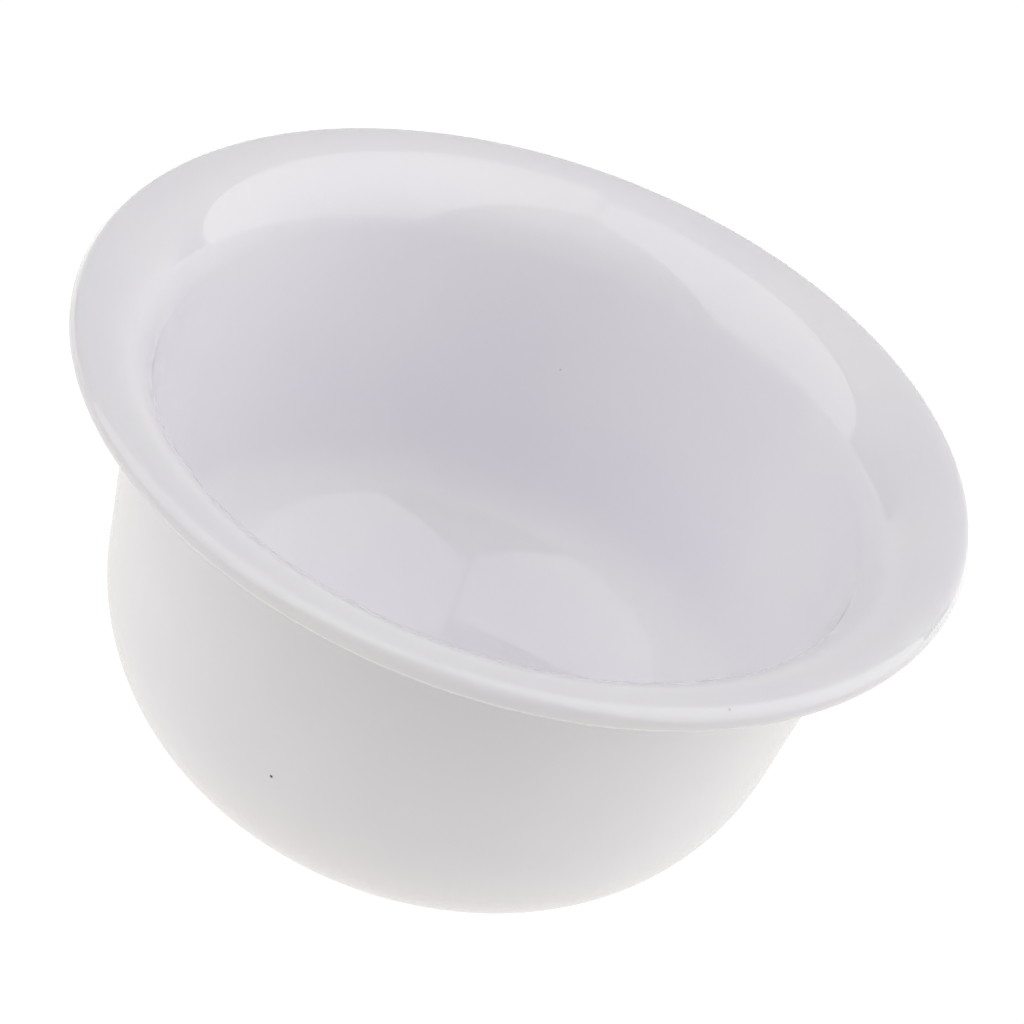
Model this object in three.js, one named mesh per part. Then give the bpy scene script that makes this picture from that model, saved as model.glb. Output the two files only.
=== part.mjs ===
// Drop-in shaving bowl: one glossy white moulding, made as a turned shell.
// Millimetres. +Z is up, and the origin is the centre of the flat that the bowl stands on.
import * as THREE from 'three';

// ---------- Driving dimensions ----------

const rimDiameter = 95; // over the outer edge of the lip
const overallHeight = 49.8; // from the flat underneath to the crown of the lip
const flangeOverhang = 7.1; // from the body wall to the lip's edge, level with the lip's centre
const lipRadius = 1.45; // the flange's edge is a round bead
const lipBlendRadius = 1.2; // hollow corner between the flange's underside and the bead
const wallThickness = 1.95; // of the body wall, and of the flange that rolls out of it
const wallDraft = 7.8; // degrees that the body opens out towards the top
const bodyCornerRadius = 23.5; // outside, where the wall turns into the standing flat
const floorThickness = 1.9;
const innerFloorRadius = 25; // inside, where the floor starts to rise
const innerCornerRadius = 12; // inside, where the rise tightens into the wall
const innerCornerSlope = 47; // degrees of rise at which the one becomes the other

// ---------- Resolution ----------

const turnSegments = 96;
const bodyArcSteps = 9;
const floorArcSteps = 5;
const flangeArcSteps = 8;
const beadArcSteps = 9;
const hollowArcSteps = 3;

// ---------- Lines and arcs of the section ----------
// A section point is (radius, height). The section is followed from the middle underneath, round
// the lip and back to the middle of the floor, so the material is always on its left.
// Angles are in degrees, from the section's outward direction.

function direction(angle) {
  const radians = THREE.MathUtils.degToRad(angle);
  return new THREE.Vector2(Math.cos(radians), Math.sin(radians));
}

function line(point, angle) {
  return { point, angle };
}

// The same line moved to its left, or to its right by a negative distance.
function offset(from, distance) {
  const point = from.point.clone().addScaledVector(direction(from.angle + 90), distance);
  return line(point, from.angle);
}

function meet(first, second) {
  const along = direction(first.angle);
  const across = direction(second.angle);
  const gap = second.point.clone().sub(first.point);
  const distance = gap.cross(across) / along.cross(across);
  return first.point.clone().addScaledVector(along, distance);
}

function arc(centre, radius, fromAngle, toAngle, steps) {
  const points = [];
  for (let step = 0; step <= steps; step += 1) {
    const angle = fromAngle + ((toAngle - fromAngle) * step) / steps;
    points.push(centre.clone().addScaledVector(direction(angle), radius));
  }
  return points;
}

// A round corner, turning left, from one line to the next.
function corner(first, second, radius, steps) {
  const centre = meet(offset(first, radius), offset(second, radius));
  return arc(centre, radius, first.angle - 90, second.angle - 90, steps);
}

// ---------- The section ----------

function bowlSection() {
  const beadCentre = new THREE.Vector2(rimDiameter / 2 - lipRadius, overallHeight - lipRadius);
  const wallTop = new THREE.Vector2(rimDiameter / 2 - flangeOverhang, beadCentre.y);

  const standingFlat = line(new THREE.Vector2(0, 0), 0);
  const outerWall = line(wallTop, 90 - wallDraft);
  const innerWall = offset(outerWall, wallThickness);
  const crown = line(new THREE.Vector2(beadCentre.x, overallHeight), 180);

  // The flange's top is one arc that rolls from the crown of the lip down into the inner wall.
  // Its centre is below the crown, and as far from the inner wall as from the crown.
  const tilt = THREE.MathUtils.degToRad(wallDraft);
  const reach = crown.point.clone().sub(innerWall.point);
  const rollRadius = (reach.x * Math.cos(tilt) - reach.y * Math.sin(tilt)) / (1 - Math.sin(tilt));
  const rollCentre = new THREE.Vector2(crown.point.x, overallHeight - rollRadius);
  const wallSide = 180 - wallDraft;

  // Its underside is the same arc, one wall thickness in. A hollow blend joins that to the bead,
  // and its centre is where both distances hold: to the roll's centre and to the bead's.
  const undersideRadius = rollRadius - wallThickness;
  const toRoll = undersideRadius - lipBlendRadius;
  const toBead = lipRadius + lipBlendRadius;
  const apart = beadCentre.y - rollCentre.y;
  const rise = (toRoll ** 2 - toBead ** 2 + apart ** 2) / (2 * apart);
  const blendStart = 90 + THREE.MathUtils.radToDeg(Math.acos(rise / toRoll));
  const blendCentre = rollCentre.clone().addScaledVector(direction(blendStart), toRoll);
  const beadStart = THREE.MathUtils.radToDeg(blendCentre.clone().sub(beadCentre).angle()) - 360;

  // Inside, a wide arc lifts off the floor and a tighter one turns it into the wall. They touch
  // where the rise reaches innerCornerSlope.
  const outwards = direction(innerCornerSlope - 90);
  const spread = innerFloorRadius - innerCornerRadius;
  const cornerHeight = floorThickness + innerFloorRadius + spread * outwards.y;
  const level = line(new THREE.Vector2(0, cornerHeight), 0);
  const cornerCentre = meet(offset(innerWall, innerCornerRadius), level);
  const floorCentre = cornerCentre.clone().addScaledVector(outwards, -spread);

  return [
    standingFlat.point,
    ...corner(standingFlat, outerWall, bodyCornerRadius, bodyArcSteps),
    ...arc(rollCentre, undersideRadius, wallSide, blendStart, flangeArcSteps),
    ...arc(blendCentre, lipBlendRadius, blendStart, beadStart + 180, hollowArcSteps).slice(1),
    ...arc(beadCentre, lipRadius, beadStart, 90, beadArcSteps).slice(1),
    ...arc(rollCentre, rollRadius, 90, wallSide, flangeArcSteps).slice(1),
    ...arc(cornerCentre, innerCornerRadius, -wallDraft, innerCornerSlope - 90, floorArcSteps),
    ...arc(floorCentre, innerFloorRadius, innerCornerSlope - 90, -90, floorArcSteps).slice(1),
    new THREE.Vector2(0, floorThickness),
  ];
}

// ---------- The bowl ----------

const whiteMoulding = new THREE.MeshStandardMaterial({
  color: new THREE.Color(0.9, 0.89, 0.9),
  roughness: 0.12,
  metalness: 0,
});

const shell = new THREE.LatheGeometry(bowlSection(), turnSegments);
shell.rotateX(Math.PI / 2);

const bowlShell = new THREE.Mesh(shell, whiteMoulding);
bowlShell.name = 'bowl_shell';

const shavingBowl = new THREE.Group();
shavingBowl.add(bowlShell);

export default shavingBowl;
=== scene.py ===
# %% [markdown]
# # A white drop-in shaving bowl
# The real bowl is one injection moulding in glossy white plastic: a deep round-bottomed body that
# rolls outwards into a wide flange, with a thick round bead for a lip. Shaving soap goes in the
# bottom and lather is worked up against the wall.
#
# The sizes were settled in CAD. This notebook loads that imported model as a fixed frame, makes a
# finer bowl in the same place, gives it a moulded finish, and lights it on a pale table.

# %% Load the frame
from math import acos, atan2, cos, degrees, pi, radians, sin

import bmesh
import bpy
from mathutils import Matrix, Quaternion, Vector


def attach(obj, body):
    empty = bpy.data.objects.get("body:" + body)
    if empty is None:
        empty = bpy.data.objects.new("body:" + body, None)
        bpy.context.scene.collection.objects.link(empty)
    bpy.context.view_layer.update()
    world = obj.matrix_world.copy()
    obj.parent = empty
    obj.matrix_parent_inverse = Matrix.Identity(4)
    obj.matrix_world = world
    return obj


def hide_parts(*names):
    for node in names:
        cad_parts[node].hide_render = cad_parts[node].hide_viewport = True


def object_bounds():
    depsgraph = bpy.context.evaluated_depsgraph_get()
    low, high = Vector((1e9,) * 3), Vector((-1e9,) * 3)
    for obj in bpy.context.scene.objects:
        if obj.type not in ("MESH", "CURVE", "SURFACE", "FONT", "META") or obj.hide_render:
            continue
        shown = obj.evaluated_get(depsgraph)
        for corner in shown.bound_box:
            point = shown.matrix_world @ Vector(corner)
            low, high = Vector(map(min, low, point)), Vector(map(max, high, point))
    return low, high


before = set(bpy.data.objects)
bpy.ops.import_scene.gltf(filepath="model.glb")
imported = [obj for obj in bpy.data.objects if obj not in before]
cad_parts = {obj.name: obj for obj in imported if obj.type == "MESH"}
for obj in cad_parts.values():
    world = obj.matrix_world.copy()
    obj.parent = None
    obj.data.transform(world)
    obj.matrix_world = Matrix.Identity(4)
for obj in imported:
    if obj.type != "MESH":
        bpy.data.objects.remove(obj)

MM = 0.001  # Blender works in metres
CAD_LOW, CAD_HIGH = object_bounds()
print("CAD box in mm:", [round(x / MM, 2) for x in (*CAD_LOW, *CAD_HIGH)])

# %% [markdown]
# ## Where the camera stands
# The camera comes first, so that every later step can be looked at from the right place. It stands
# about six bowl widths away and 34 degrees above the rim, with a long lens to suit, and it leans a
# fifth of a right angle, so the upright bowl is seen as if it were tipping to the right.
#
# A camera looks along its own -Z. `to_track_quat` turns it to face the bowl with the horizon level,
# and one more turn about its own Z gives the lean.

# %% The camera
rim_radius = CAD_HIGH.x
rim_level = CAD_HIGH.z - 1.45 * MM  # the height of the lip's widest line

EYE_ABOVE_RIM = 34.3  # degrees
EYE_DISTANCE = 12 * rim_radius
CAMERA_LEAN = 20.3  # degrees, anticlockwise as the camera sees itself
LENS = 197.6  # mm, on Blender's usual sensor of 36 mm

eye = Vector((0, -cos(radians(EYE_ABOVE_RIM)), sin(radians(EYE_ABOVE_RIM)))) * EYE_DISTANCE
eye.z += rim_level
aim = Vector((2.15 * MM, 0, rim_level - 12.15 * MM))

camera = bpy.data.objects.new("camera", bpy.data.cameras.new("camera"))
camera.data.lens = LENS
camera.location = eye
camera.rotation_mode = "QUATERNION"
level_view = (aim - eye).to_track_quat("-Z", "Y")
camera.rotation_quaternion = level_view @ Quaternion((0, 0, 1), radians(CAMERA_LEAN))
bpy.context.scene.collection.objects.link(camera)
bpy.context.scene.camera = camera
print("the camera is", round((aim - eye).length, 3), "m from what it aims at")

# %% [markdown]
# ## The section of the bowl
# A bowl like this is turned: one outline, swung round the middle, is the whole shape. So the only
# thing to draw is half of a cut through it. Everything in that outline is a straight run or an arc,
# because that is how a mould is cut, and each run leads smoothly into the next.
#
# These are the sizes that a mould maker would be given. The rim and the height come from the frame,
# so the fine bowl is always as big as the CAD one.

# %% The mould maker's sizes
LIP_RADIUS = 1.45 * MM  # the bead round the flange's edge
LIP_BLEND_RADIUS = 1.2 * MM  # the hollow between the bead and the flange's underside
FLANGE_OVERHANG = 7.1 * MM  # from the body wall out to the lip's edge
WALL = 1.95 * MM
FLOOR = 1.9 * MM
DRAFT = 7.8  # degrees that the wall opens by, so that the moulding leaves its mould
BODY_CORNER_RADIUS = 23.5 * MM  # outside, from the wall into the standing flat
INNER_CORNER_RADIUS = 12 * MM  # inside, just below the wall
INNER_FLOOR_RADIUS = 25 * MM  # inside, where the floor starts to rise
INNER_CORNER_SLOPE = 47  # degrees of rise where one inside arc hands over to the other

lip_centre = Vector((rim_radius - LIP_RADIUS, rim_level))
wall_top = Vector((rim_radius - FLANGE_OVERHANG, rim_level))


def beside_wall(distance, height):
    """The point at that height which lies that far inside the body's outer face."""
    back = distance - (height - wall_top.y) * sin(radians(DRAFT))
    return Vector((wall_top.x - back / cos(radians(DRAFT)), height))


def towards(angle):
    return Vector((cos(radians(angle)), sin(radians(angle))))


# %% [markdown]
# ## Where the arcs are centred
# The flange has no flat in it. Its top is one arc, the "roll", from the crown of the lip down into
# the inner wall, so its centre is as far below the crown as it is outside the wall. The underside is
# the same arc, one wall thickness in, and a small hollow blends it into the bead. The blend touches
# both, so its centre is found from its distances to theirs.

# %% The arcs' centres
crown_to_wall = (lip_centre.x - wall_top.x) * cos(radians(DRAFT)) + WALL
crown_to_wall -= LIP_RADIUS * sin(radians(DRAFT))
roll_radius = crown_to_wall / (1 - sin(radians(DRAFT)))
roll_centre = Vector((lip_centre.x, CAD_HIGH.z - roll_radius))
underside_radius = roll_radius - WALL

blend_to_roll = underside_radius - LIP_BLEND_RADIUS
blend_to_lip = LIP_RADIUS + LIP_BLEND_RADIUS
roll_to_lip = lip_centre.y - roll_centre.y
blend_rise = (blend_to_roll**2 - blend_to_lip**2 + roll_to_lip**2) / (2 * roll_to_lip)
blend_angle = 90 + degrees(acos(blend_rise / blend_to_roll))
blend_centre = roll_centre + towards(blend_angle) * blend_to_roll
from_lip = blend_centre - lip_centre
lip_angle = degrees(atan2(from_lip.y, from_lip.x)) % 360 - 360

corner_centre = beside_wall(BODY_CORNER_RADIUS, BODY_CORNER_RADIUS)
handover = towards(INNER_CORNER_SLOPE - 90) * (INNER_FLOOR_RADIUS - INNER_CORNER_RADIUS)
inner_corner_height = FLOOR + INNER_FLOOR_RADIUS + handover.y
inner_corner_centre = beside_wall(WALL + INNER_CORNER_RADIUS, inner_corner_height)
floor_centre = inner_corner_centre - handover
print("the flange rolls over a radius of", round(roll_radius / MM, 2), "mm")

# %% [markdown]
# ## Drawing with a pen
# Blender's spin operator swings whatever it is given about an axis. Given a single vertex it draws an
# arc, so a pen that only knows "go straight" and "swing" can draw the outline vertex by vertex. The
# outline stands in the XZ plane: X is the distance from the bowl's middle and Z is the height.

# %% Two pen strokes
ARC_STEP = 2.0  # degrees between the outline's vertices on an arc


def straight_to(section, vertex, point):
    """Extrudes the outline's last vertex as far as a point."""
    vertex = bmesh.ops.extrude_vert_indiv(section, verts=[vertex])["verts"][0]
    vertex.co = (point.x, 0, point.y)
    return vertex


def arc(section, vertex, centre, radius, from_angle, to_angle):
    """Runs to where an arc starts, then spins the last vertex about the arc's centre."""
    start = centre + towards(from_angle) * radius
    if (Vector((vertex.co.x, vertex.co.z)) - start).length > 0.001 * MM:
        vertex = straight_to(section, vertex, start)
    turn = to_angle - from_angle
    spun = bmesh.ops.spin(
        section,
        geom=[vertex],
        cent=(centre.x, 0, centre.y),
        axis=(0, -1, 0),
        angle=radians(turn),
        steps=max(3, round(abs(turn) / ARC_STEP)),
        use_duplicate=False,
    )
    return next(item for item in spun["geom_last"] if isinstance(item, bmesh.types.BMVert))


# %% Draw the outline
section = bmesh.new()
pen = section.verts.new((0, 0, 0))
WALL_SIDE = 180 - DRAFT  # the angle, seen from an arc's centre, that faces square into the bowl

pen = arc(section, pen, corner_centre, BODY_CORNER_RADIUS, -90, -DRAFT)
pen = arc(section, pen, roll_centre, underside_radius, WALL_SIDE, blend_angle)
pen = arc(section, pen, blend_centre, LIP_BLEND_RADIUS, blend_angle, lip_angle + 180)
pen = arc(section, pen, lip_centre, LIP_RADIUS, lip_angle, 90)
pen = arc(section, pen, roll_centre, roll_radius, 90, WALL_SIDE)
pen = arc(section, pen, inner_corner_centre, INNER_CORNER_RADIUS, -DRAFT, INNER_CORNER_SLOPE - 90)
pen = arc(section, pen, floor_centre, INNER_FLOOR_RADIUS, INNER_CORNER_SLOPE - 90, -90)
pen = straight_to(section, pen, Vector((0, FLOOR)))
print("the outline has", len(section.verts), "vertices")

# %% [markdown]
# ## Turning the outline into a bowl
# The same operator swings the finished outline all the way round. `use_merge` welds the last copy to
# the first. The two ends of the outline lie on the axis, so their copies pile up on one point, and
# merging doubles closes those two poles. A spin can come out inside out, so the normals are
# recalculated, and with the skin closed they all face away from the plastic.

# %% Spin it
TURNS = 288  # steps round the bowl


def object_from(shape, name):
    """Puts a finished bmesh into the scene as an object, and lets the bmesh go."""
    mesh = bpy.data.meshes.new(name)
    shape.to_mesh(mesh)
    shape.free()
    made = bpy.data.objects.new(name, mesh)
    bpy.context.scene.collection.objects.link(made)
    return made


def swing_round(section):
    """Swings the outline all the way round, welds it shut and smooths it."""
    bmesh.ops.spin(
        section,
        geom=section.verts[:] + section.edges[:],
        cent=(0, 0, 0),
        axis=(0, 0, 1),
        angle=2 * pi,
        steps=TURNS,
        use_merge=True,
    )
    bmesh.ops.remove_doubles(section, verts=section.verts[:], dist=0.001 * MM)
    bmesh.ops.recalc_face_normals(section, faces=section.faces[:])
    for face in section.faces:
        face.smooth = True


swing_round(section)
holes = sum(1 for edge in section.edges if len(edge.link_faces) != 2)
plastic = section.calc_volume(signed=True)
bowl = object_from(section, "shaving_bowl")
print("bowl:", len(bowl.data.polygons), "faces,", holes, "open edges,", round(plastic * 1e6, 2), "cm3")

# %% [markdown]
# ## White moulding
# The plastic is dense white with a cool tint, and its gloss is that of a polished mould. Light goes a
# couple of millimetres into it before it comes out again, so the wall glows a little where it is lit
# from behind: that is subsurface scattering, and it is a plain number on the shader.
#
# Nothing else about it is one flat value. The melt flows unevenly, so the white drifts by a shade over
# a couple of centimetres, and the skin shrinks by a few microns as it cools, which bends what it
# reflects. Pinprick flecks of burnt plastic are caught in it, and handling and standing dull the crown
# of the lip and the flat underneath.
#
# Every pattern reads Object coordinates, which are metres in the bowl's own frame, so a noise scale
# of 50 means features about a fiftieth of a metre across.

# %% A shorthand for shader nodes
def add_node(tree, kind, inputs=None, **settings):
    """Adds a node, sets its properties, and fills or links its inputs."""
    node = tree.nodes.new(kind)
    for name, value in settings.items():
        setattr(node, name, value)
    for name, value in (inputs or {}).items():
        if isinstance(value, bpy.types.NodeSocket):
            tree.links.new(value, node.inputs[name])
        else:
            node.inputs[name].default_value = value
    return node


def new_material(name):
    material = bpy.data.materials.new(name)
    material.use_nodes = True
    material.node_tree.nodes.clear()
    return material, material.node_tree


def noise(tree, place, scale, detail=2.0):
    """Smooth noise of about 0 to 1. Scale is in features to the metre."""
    settings = {"Vector": place, "Scale": scale, "Detail": detail}
    return add_node(tree, "ShaderNodeTexNoise", settings).outputs["Fac"]


def between(tree, value, low, high, to_low=0.0, to_high=1.0):
    """Goes from to_low to to_high as value goes from low to high."""
    inputs = {"Value": value, "From Min": low, "From Max": high, "To Min": to_low, "To Max": to_high}
    return add_node(tree, "ShaderNodeMapRange", inputs).outputs["Result"]


def calculate(tree, operation, first, second):
    return add_node(tree, "ShaderNodeMath", {0: first, 1: second}, operation=operation).outputs[0]


def mix_colours(tree, share, first, second):
    inputs = {"Factor": share, 6: first, 7: second}
    return add_node(tree, "ShaderNodeMix", inputs, data_type="RGBA").outputs[2]


# %% [markdown]
# ## Flecks and rubs
# A mask is a number that is 1 where something happens and 0 elsewhere. One fleck is a mask of the
# distance from a point on the skin. The scatter of faint ones is Voronoi noise, which drops one random
# point in each cell of space: only the very middle of a cell is marked, and only where the cell's own
# random colour comes up high, so most cells stay clean. A rub is a mask of height, broken up by noise.

# %% Masks for the marks
def fleck_mask(tree, place, centre, radius):
    away = add_node(tree, "ShaderNodeVectorMath", {0: place, 1: centre}, operation="DISTANCE")
    return between(tree, away.outputs["Value"], 0.5 * radius, radius, 1, 0)


def scattered_flecks_mask(tree, place, cell, radius, share):
    """Marks the middle of that share of the cells, where cell and radius are in metres."""
    cells = add_node(tree, "ShaderNodeTexVoronoi", {"Vector": place, "Scale": 1 / cell})
    dot = between(tree, cells.outputs["Distance"], 0.4 * radius / cell, radius / cell, 1, 0)
    chance = add_node(tree, "ShaderNodeSeparateColor", {"Color": cells.outputs["Color"]})
    chosen = calculate(tree, "GREATER_THAN", chance.outputs["Red"], 1 - share)
    return calculate(tree, "MULTIPLY", dot, chosen)


def rub_mask(tree, place):
    """1 on the crown of the lip and on the standing flat, broken into streaks."""
    height = add_node(tree, "ShaderNodeSeparateXYZ", {"Vector": place}).outputs["Z"]
    crown = between(tree, height, CAD_HIGH.z - 0.3 * MM, CAD_HIGH.z - 0.05 * MM)
    flat = between(tree, height, 0.02 * MM, 0.15 * MM, 1, 0)
    streaks = between(tree, noise(tree, place, 900, 5), 0.45, 0.62)
    return calculate(tree, "MULTIPLY", calculate(tree, "MAXIMUM", crown, flat), streaks)


# %% The finish
COOL_WHITE = (0.91, 0.895, 0.95, 1)
DRIFTED_WHITE = (0.89, 0.875, 0.93, 1)
BURNT_GREY = (0.10, 0.09, 0.09, 1)
FAINT_GREY = (0.72, 0.71, 0.72, 1)


def body_skin(height):
    """The point of the outline on the body's outer round corner, at that height."""
    rise = height - corner_centre.y
    return Vector((corner_centre.x + (BODY_CORNER_RADIUS**2 - rise**2) ** 0.5, height))


# Each mark: degrees round the bowl from +X, where it is on the outline, its radius and its grey.
MARKS = (
    (-108, body_skin(20.6 * MM), 0.22 * MM, BURNT_GREY),
    (-84, body_skin(27.4 * MM), 0.18 * MM, FAINT_GREY),
    (87, beside_wall(WALL, 30.7 * MM), 0.18 * MM, FAINT_GREY),
    (-53, lip_centre + towards(63) * LIP_RADIUS, 0.22 * MM, FAINT_GREY),
)


def white_moulding():
    material, tree = new_material("glossy_white_moulding")
    place = add_node(tree, "ShaderNodeTexCoord").outputs["Object"]

    drift = between(tree, noise(tree, place, 45), 0.35, 0.65)
    colour = mix_colours(tree, drift, COOL_WHITE, DRIFTED_WHITE)
    faint = scattered_flecks_mask(tree, place, 10 * MM, 0.14 * MM, 0.25)
    colour = mix_colours(tree, faint, colour, FAINT_GREY)
    for turn, point, radius, grey in MARKS:
        centre = Matrix.Rotation(radians(turn), 3, "Z") @ Vector((point.x, 0, point.y))
        colour = mix_colours(tree, fleck_mask(tree, place, centre, radius), colour, grey)

    rubbed = rub_mask(tree, place)
    gloss = between(tree, noise(tree, place, 700, 4), 0.3, 0.7, 0.02, 0.045)
    gloss = calculate(tree, "ADD", gloss, calculate(tree, "MULTIPLY", rubbed, 0.10))

    waves = calculate(tree, "MULTIPLY", noise(tree, place, 38, 0), 30e-6)
    peel = calculate(tree, "MULTIPLY", noise(tree, place, 420, 1), 0.6e-6)
    scratches = calculate(tree, "MULTIPLY", rubbed, -0.5e-6)
    relief = calculate(tree, "ADD", calculate(tree, "ADD", waves, peel), scratches)
    bump = add_node(tree, "ShaderNodeBump", {"Height": relief, "Distance": 1.0, "Strength": 1.0})

    shader = add_node(
        tree,
        "ShaderNodeBsdfPrincipled",
        {
            "Base Color": colour,
            "Roughness": gloss,
            "Normal": bump.outputs["Normal"],
            "IOR": 1.5,
            "Subsurface Weight": 1.0,
            "Subsurface Radius": (1, 1, 1),
            "Subsurface Scale": 2 * MM,
        },
    )
    add_node(tree, "ShaderNodeOutputMaterial", {"Surface": shader.outputs["BSDF"]})
    return material


bowl.data.materials.append(white_moulding())
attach(bowl, "root")
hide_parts("bowl_shell")
print("the skin is marked at", [(turn, round(point.y / MM, 1)) for turn, point, *_ in MARKS])

# %% [markdown]
# ## Light that grades
# A white bowl shows its surroundings more than its own colour, so they are made with as much care.
# Each is a flat sheet that glows. A color ramp along the sheet sets how bright it is from its foot to
# its top, so that it grades as cloth does with a lamp behind it. Each stop is (place, brightness),
# where a brightness of 1 shows as white. A ramp is happiest between 0 and 1, so the brightness is
# divided by the shader's Strength. The sheets are plain white and the table is a little warm, and the
# cool tint of the bowl's inside comes from the plastic itself, as light bounces about in the hollow
# and is tinted each time.

# %% A sheet of light
RAMP_STRENGTH = 4.0
WHITE = (1.0, 1.0, 1.0)
WARM = (1.0, 0.98, 0.94)


def lit(brightness, tint=WHITE):
    return (*(part * brightness / RAMP_STRENGTH for part in tint), 1)


def ramp_colour(tree, value, stops, tint=WHITE):
    """Looks a value up on a color ramp, whose stops are (place, brightness)."""
    node = add_node(tree, "ShaderNodeValToRGB", {"Fac": value})
    ramp = node.color_ramp
    while len(ramp.elements) < len(stops):
        ramp.elements.new(0.5)
    for element, (position, brightness) in zip(ramp.elements, stops):
        element.position = position
        element.color = lit(brightness, tint)
    return node.outputs["Color"]


def glow(tree, colour):
    shader = add_node(tree, "ShaderNodeEmission", {"Color": colour, "Strength": RAMP_STRENGTH})
    add_node(tree, "ShaderNodeOutputMaterial", {"Surface": shader.outputs[0]})


def glow_material(name, stops):
    material, tree = new_material(name)
    place = add_node(tree, "ShaderNodeUVMap", uv_map="along").outputs["UV"]
    along = add_node(tree, "ShaderNodeSeparateXYZ", {"Vector": place}).outputs["Y"]
    glow(tree, ramp_colour(tree, along, stops))
    return material


def sheet_of_light(name, foot, across, up, width, height, stops):
    """A glowing rectangle that stands on the middle of its foot and rises along up."""
    across = Vector(across).normalized()
    up = Vector(up).normalized()
    shape = bmesh.new()
    shape.loops.layers.uv.new("along")
    bmesh.ops.create_grid(shape, x_segments=1, y_segments=1, size=0.5, calc_uvs=True)
    bmesh.ops.translate(shape, vec=(0, 0.5, 0), verts=shape.verts)
    bmesh.ops.scale(shape, vec=(width, height, 1), verts=shape.verts)
    stand = Matrix((across, up, across.cross(up))).transposed().to_4x4()
    bmesh.ops.transform(shape, matrix=Matrix.Translation(foot) @ stand, verts=shape.verts)
    sheet = object_from(shape, name)
    sheet.data.materials.append(glow_material(name, stops))
    sheet.visible_camera = False


# %% [markdown]
# ## A tent of two panels
# The shapes in the bowl's gloss are two big panels, one either side, that lean in and all but meet
# over it like a tent. They are even for most of their height, so their edges show crisply in the
# gloss, and dimmer at the top. The tent is open towards the camera, so the front of the lip has
# little to reflect, and a low sheet closes it behind.

# %% The panels
REACH = 1.0  # metres from the bowl to each panel's foot
PANEL_HEIGHT = 2.1
PANEL_LEAN = radians(28)
PANEL_STOPS = ((0.4, 1.4), (1.0, 0.8))
BACKDROP_STOPS = ((0.0, 0.9), (0.2, 0.3), (0.4, 0.0))


def panel(name, side, forward, width):
    """Stands on the side (1 for right, -1 for left), with its middle that far in front of the bowl."""
    foot = Vector((side * REACH, -forward, 0))
    up = (-side * sin(PANEL_LEAN), 0, cos(PANEL_LEAN))
    sheet_of_light(name, foot, (0, 1, 0), up, width, PANEL_HEIGHT, PANEL_STOPS)


panel("right_panel", 1, 0.1, 1.4)
panel("left_panel", -1, 0.4, 1.2)
sheet_of_light("backdrop", Vector((0, 1.2, 0)), (1, 0, 0), (0, 0, 1), 2.4, 3.0, BACKDROP_STOPS)
print("each panel leans in by", round(degrees(PANEL_LEAN)), "degrees")

# %% [markdown]
# ## A pale table that glows
# White goods are often shot on a light table, whose top glows as well as being white, so that the
# goods cast no shadow on it. The table's far side glows more than its near one. To the camera it is
# plain white all over, and the Light Path node keeps that apart from what it sheds on the bowl.

# %% The table
TABLE_SIZE = 6.0  # metres
TABLE_STOPS = ((0.0, 0.4), (0.5, 0.25), (1.0, 2.0))  # from the camera's side to the back
UNDER_BOWL = 0.9
SEEN_WHITE = 1.04  # just over white, so the camera sees no shading on the table


def light_table():
    material, tree = new_material("light_table")
    place = add_node(tree, "ShaderNodeTexCoord").outputs["Object"]
    away = add_node(tree, "ShaderNodeVectorMath", {0: place}, operation="LENGTH").outputs["Value"]
    heading = add_node(tree, "ShaderNodeVectorMath", {0: place}, operation="NORMALIZE").outputs["Vector"]
    towards_back = add_node(tree, "ShaderNodeSeparateXYZ", {"Vector": heading}).outputs["Y"]
    around = ramp_colour(tree, between(tree, towards_back, -1, 1), TABLE_STOPS, WARM)
    shed = mix_colours(tree, between(tree, away, 0.08, 0.20), lit(UNDER_BOWL, WARM), around)
    seen = add_node(tree, "ShaderNodeLightPath").outputs["Is Camera Ray"]
    glow(tree, mix_colours(tree, seen, shed, lit(SEEN_WHITE)))
    return material


table_shape = bmesh.new()
bmesh.ops.create_grid(table_shape, x_segments=1, y_segments=1, size=TABLE_SIZE / 2)
table = object_from(table_shape, "table")
table.data.materials.append(light_table())

# %% [markdown]
# ## The room
# Past the sheets the room is dark, but a camera that looks over the edge of the table should still see
# a plain pale studio, so the world is white to the camera and black to everything else.

# %% The world
world = bpy.data.worlds.new("room")
world.use_nodes = True
room = world.node_tree
room.nodes.clear()
seen = add_node(room, "ShaderNodeLightPath").outputs["Is Camera Ray"]
background = add_node(room, "ShaderNodeBackground", {"Color": (1, 1, 1, 1), "Strength": seen})
add_node(room, "ShaderNodeOutputWorld", {"Surface": background.outputs[0]})
bpy.context.scene.world = world
bpy.context.scene.view_settings.view_transform = "Standard"
